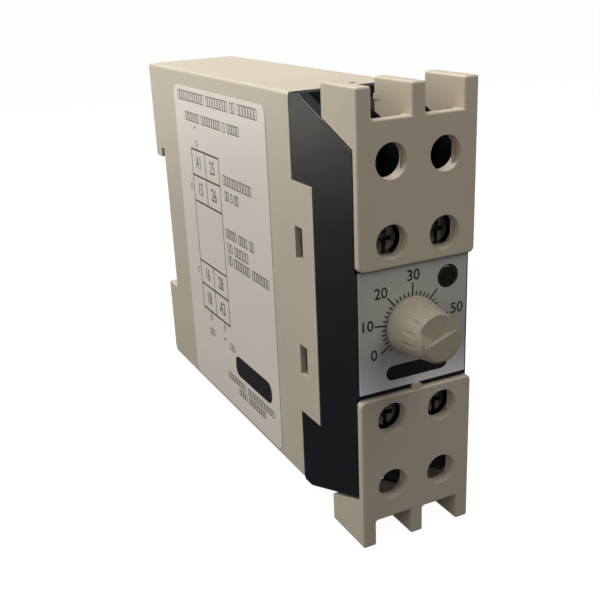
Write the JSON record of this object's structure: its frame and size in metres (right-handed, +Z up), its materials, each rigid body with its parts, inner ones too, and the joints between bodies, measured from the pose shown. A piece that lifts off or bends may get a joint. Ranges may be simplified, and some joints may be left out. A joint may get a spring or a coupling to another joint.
{
  "type": "time delay relay",
  "caption": "Slim rail-mounted time delay relay with a front dial knob, indicator lens, clip-on terminal covers and a sprung rail clip.",
  "frame": {"origin": "middle of the face that rests on the front of the mounting rail, half way across the width and level with the rail's centre line", "axes": "+X to the right seen from the front, +Y from the front to the rear, towards the rail, +Z up"},
  "size_m": [0.0227, 0.1101, 0.0812],
  "materials": {
    "housing": "fine matte moulded plastic, warm light grey",
    "cover": "fine matte moulded plastic, slightly darker than the housing",
    "block": "satin moulded plastic, blue-black",
    "dial_plate": "printed satin grey sheet",
    "label": "printed satin paper label",
    "knob": "matte moulded plastic",
    "shaft": "natural nylon",
    "pot_case": "blue moulded plastic",
    "phenolic": "brown phenolic board",
    "lens": "dark smoked plastic",
    "led": "red translucent epoxy",
    "board": "green solder mask",
    "pins": "tin plated",
    "relay_base": "black moulded plastic",
    "relay_cover": "blue moulded plastic",
    "bobbin": "natural moulded plastic",
    "coil": "enamelled copper wire",
    "iron": "nickel plated iron",
    "spring_alloy": "copper alloy strip with silver contacts",
    "film": "red-brown dipped coating",
    "can": "aluminium can in a dark sleeve",
    "chip": "black moulded epoxy",
    "varistor": "blue dipped coating",
    "resistor": "tan lacquer",
    "clip": "black moulded plastic",
    "steel": "zinc plated spring steel",
    "brass": "plain brass",
    "screw_steel": "dark zinc plated steel",
    "zinc": "zinc plated steel"
  },
  "bodies": {
    "housing": {"housing_shell": "housing", "upper_terminal_cover": "cover", "lower_terminal_cover": "cover", "terminal_block": "block", "dial_plate": "dial_plate", "side_label": "label", "pot_case": "pot_case", "pot_wafer": "phenolic", "indicator_lens": "lens", "indicator_led": "led", "control_board": "board", "terminal_board": "board", "main_board": "board", "front_header": "pins", "main_header": "pins", "relay_base": "relay_base", "relay_pins": "pins", "relay_cover": "relay_cover", "relay_bobbin": "bobbin", "relay_coil": "coil", "relay_yoke": "iron", "relay_moving_springs": "spring_alloy", "relay_fixed_contacts": "spring_alloy", "dropper_capacitor": "film", "filter_capacitor": "can", "timing_capacitor": "can", "timer_chip": "chip", "varistor": "varistor", "rectifier_diodes": "chip", "resistors": "resistor", "clip_spring": "steel", "terminal_bars_upper": "brass", "terminal_bars_lower": "brass"},
    "knob": {"control_knob": "knob", "pot_shaft": "shaft"},
    "armature": {"relay_armature": "iron", "relay_card": "bobbin"},
    "clip": {"rail_clip": "clip"},
    "clamp_1": {"wire_clamp_1": "zinc"},
    "screw_1": {"terminal_screw_1": "screw_steel"},
    "clamp_2": {"wire_clamp_2": "zinc"},
    "screw_2": {"terminal_screw_2": "screw_steel"},
    "clamp_3": {"wire_clamp_3": "zinc"},
    "screw_3": {"terminal_screw_3": "screw_steel"},
    "clamp_4": {"wire_clamp_4": "zinc"},
    "screw_4": {"terminal_screw_4": "screw_steel"},
    "clamp_5": {"wire_clamp_5": "zinc"},
    "screw_5": {"terminal_screw_5": "screw_steel"},
    "clamp_6": {"wire_clamp_6": "zinc"},
    "screw_6": {"terminal_screw_6": "screw_steel"},
    "clamp_7": {"wire_clamp_7": "zinc"},
    "screw_7": {"terminal_screw_7": "screw_steel"},
    "clamp_8": {"wire_clamp_8": "zinc"},
    "screw_8": {"terminal_screw_8": "screw_steel"}
  },
  "joints": [
    {"name": "knob_turn", "type": "hinge", "parent": "housing", "child": "knob", "pos_m": [-0.0009, -0.095, 0.00065], "axis": [0, 1, 0], "range_deg": [-204, 68]},
    {"name": "armature_swing", "type": "hinge", "parent": "housing", "child": "armature", "pos_m": [0.00665, -0.0484, 0.02045], "axis": [0, 0, -1], "range_deg": [0, 4], "stiffness_Nm_per_rad": 0.02, "springref_deg": -5.73, "deforming": ["relay_moving_springs"]},
    {"name": "clip_slide", "type": "slide", "parent": "housing", "child": "clip", "axis": [0, 0, -1], "range_m": [0, 0.003], "stiffness_N_per_m": 2000, "springref_m": -0.002, "deforming": ["clip_spring"]},
    {"name": "clamp_slide_1", "type": "slide", "parent": "housing", "child": "clamp_1", "axis": [0, 1, 0], "range_m": [0, 0.0015]},
    {"name": "screw_turn_1", "type": "hinge", "parent": "clamp_1", "child": "screw_1", "pos_m": [-0.0051, -0.085, 0.02895], "axis": [0, 1, 0], "range_deg": [0, 1081]},
    {"name": "clamp_slide_2", "type": "slide", "parent": "housing", "child": "clamp_2", "axis": [0, 1, 0], "range_m": [0, 0.0015]},
    {"name": "screw_turn_2", "type": "hinge", "parent": "clamp_2", "child": "screw_2", "pos_m": [0.0051, -0.085, 0.02895], "axis": [0, 1, 0], "range_deg": [0, 1081]},
    {"name": "clamp_slide_3", "type": "slide", "parent": "housing", "child": "clamp_3", "axis": [0, 1, 0], "range_m": [0, 0.0015]},
    {"name": "screw_turn_3", "type": "hinge", "parent": "clamp_3", "child": "screw_3", "pos_m": [-0.0051, -0.085, 0.01585], "axis": [0, 1, 0], "range_deg": [0, 1081]},
    {"name": "clamp_slide_4", "type": "slide", "parent": "housing", "child": "clamp_4", "axis": [0, 1, 0], "range_m": [0, 0.0015]},
    {"name": "screw_turn_4", "type": "hinge", "parent": "clamp_4", "child": "screw_4", "pos_m": [0.0051, -0.085, 0.01585], "axis": [0, 1, 0], "range_deg": [0, 1081]},
    {"name": "clamp_slide_5", "type": "slide", "parent": "housing", "child": "clamp_5", "axis": [0, 1, 0], "range_m": [0, 0.0015]},
    {"name": "screw_turn_5", "type": "hinge", "parent": "clamp_5", "child": "screw_5", "pos_m": [-0.0051, -0.085, -0.02895], "axis": [0, 1, 0], "range_deg": [0, 1081]},
    {"name": "clamp_slide_6", "type": "slide", "parent": "housing", "child": "clamp_6", "axis": [0, 1, 0], "range_m": [0, 0.0015]},
    {"name": "screw_turn_6", "type": "hinge", "parent": "clamp_6", "child": "screw_6", "pos_m": [0.0051, -0.085, -0.02895], "axis": [0, 1, 0], "range_deg": [0, 1081]},
    {"name": "clamp_slide_7", "type": "slide", "parent": "housing", "child": "clamp_7", "axis": [0, 1, 0], "range_m": [0, 0.0015]},
    {"name": "screw_turn_7", "type": "hinge", "parent": "clamp_7", "child": "screw_7", "pos_m": [-0.0051, -0.085, -0.01585], "axis": [0, 1, 0], "range_deg": [0, 1081]},
    {"name": "clamp_slide_8", "type": "slide", "parent": "housing", "child": "clamp_8", "axis": [0, 1, 0], "range_m": [0, 0.0015]},
    {"name": "screw_turn_8", "type": "hinge", "parent": "clamp_8", "child": "screw_8", "pos_m": [0.0051, -0.085, -0.01585], "axis": [0, 1, 0], "range_deg": [0, 1081]}
  ],
  "couplings": [
    {"joint": "screw_turn_1", "follows": "clamp_slide_1", "rad_per_m": 12566},
    {"joint": "screw_turn_2", "follows": "clamp_slide_2", "rad_per_m": 12566},
    {"joint": "screw_turn_3", "follows": "clamp_slide_3", "rad_per_m": 12566},
    {"joint": "screw_turn_4", "follows": "clamp_slide_4", "rad_per_m": 12566},
    {"joint": "screw_turn_5", "follows": "clamp_slide_5", "rad_per_m": 12566},
    {"joint": "screw_turn_6", "follows": "clamp_slide_6", "rad_per_m": 12566},
    {"joint": "screw_turn_7", "follows": "clamp_slide_7", "rad_per_m": 12566},
    {"joint": "screw_turn_8", "follows": "clamp_slide_8", "rad_per_m": 12566}
  ]
}
